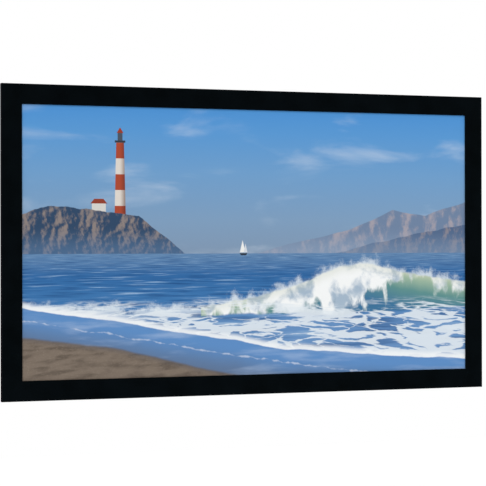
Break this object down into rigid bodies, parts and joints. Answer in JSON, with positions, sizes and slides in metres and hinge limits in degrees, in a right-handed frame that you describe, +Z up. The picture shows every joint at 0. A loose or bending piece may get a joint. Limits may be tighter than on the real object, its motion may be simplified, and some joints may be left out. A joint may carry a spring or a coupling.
{
  "type": "fixed frame projector screen",
  "caption": "Wall-hung fixed frame projector screen: a widescreen sheet stretched on press snaps behind a wide mitred black velvet border over hollow aluminium rails.",
  "frame": {"origin": "centre of the whole screen's box, brackets included", "axes": "+X along the picture to its right, +Y from the picture to the wall, +Z up"},
  "size_m": [2.202, 0.0408, 1.313],
  "materials": {
    "aluminium_rail": "satin extruded aluminium",
    "aluminium_bracket": "mill finish aluminium",
    "black_velvet": "matt black flocked velvet",
    "vinyl_sheet": "matt white vinyl in front, black behind, with a picture thrown on it",
    "webbing": "woven black hem with nickel plated snaps",
    "zinc_steel": "bright zinc plate",
    "black_steel": "black oxide",
    "black_paint": "satin black powder coat"
  },
  "bodies": {
    "root": {"top_rail": "aluminium_rail", "right_rail": "aluminium_rail", "bottom_rail": "aluminium_rail", "left_rail": "aluminium_rail", "top_velvet": "black_velvet", "right_velvet": "black_velvet", "bottom_velvet": "black_velvet", "left_velvet": "black_velvet", "top_hem": "webbing", "right_hem": "webbing", "bottom_hem": "webbing", "left_hem": "webbing", "projection_sheet": "vinyl_sheet", "bracing_bar": "black_paint", "top_bar_strap": "zinc_steel", "bottom_bar_strap": "zinc_steel", "top_channel_nut": "zinc_steel", "bottom_channel_nut": "zinc_steel", "top_strap_rail_bolt": "black_steel", "top_strap_bar_bolt": "black_steel", "bottom_strap_rail_bolt": "black_steel", "bottom_strap_bar_bolt": "black_steel", "top_left_wall_bracket": "aluminium_bracket", "top_right_wall_bracket": "aluminium_bracket", "bottom_left_wall_bracket": "aluminium_bracket", "bottom_right_wall_bracket": "aluminium_bracket", "top_left_outer_key": "zinc_steel", "top_left_inner_key": "zinc_steel", "top_right_outer_key": "zinc_steel", "top_right_inner_key": "zinc_steel", "bottom_right_outer_key": "zinc_steel", "bottom_right_inner_key": "zinc_steel", "bottom_left_outer_key": "zinc_steel", "bottom_left_inner_key": "zinc_steel", "top_left_outer_set_screw_1": "black_steel", "top_left_outer_set_screw_2": "black_steel", "top_left_outer_set_screw_3": "black_steel", "top_left_outer_set_screw_4": "black_steel", "top_left_inner_set_screw_1": "black_steel", "top_left_inner_set_screw_2": "black_steel", "top_right_outer_set_screw_1": "black_steel", "top_right_outer_set_screw_2": "black_steel", "top_right_outer_set_screw_3": "black_steel", "top_right_outer_set_screw_4": "black_steel", "top_right_inner_set_screw_1": "black_steel", "top_right_inner_set_screw_2": "black_steel", "bottom_right_outer_set_screw_1": "black_steel", "bottom_right_outer_set_screw_2": "black_steel", "bottom_right_outer_set_screw_3": "black_steel", "bottom_right_outer_set_screw_4": "black_steel", "bottom_right_inner_set_screw_1": "black_steel", "bottom_right_inner_set_screw_2": "black_steel", "bottom_left_outer_set_screw_1": "black_steel", "bottom_left_outer_set_screw_2": "black_steel", "bottom_left_outer_set_screw_3": "black_steel", "bottom_left_outer_set_screw_4": "black_steel", "bottom_left_inner_set_screw_1": "black_steel", "bottom_left_inner_set_screw_2": "black_steel"}
  },
  "joints": []
}
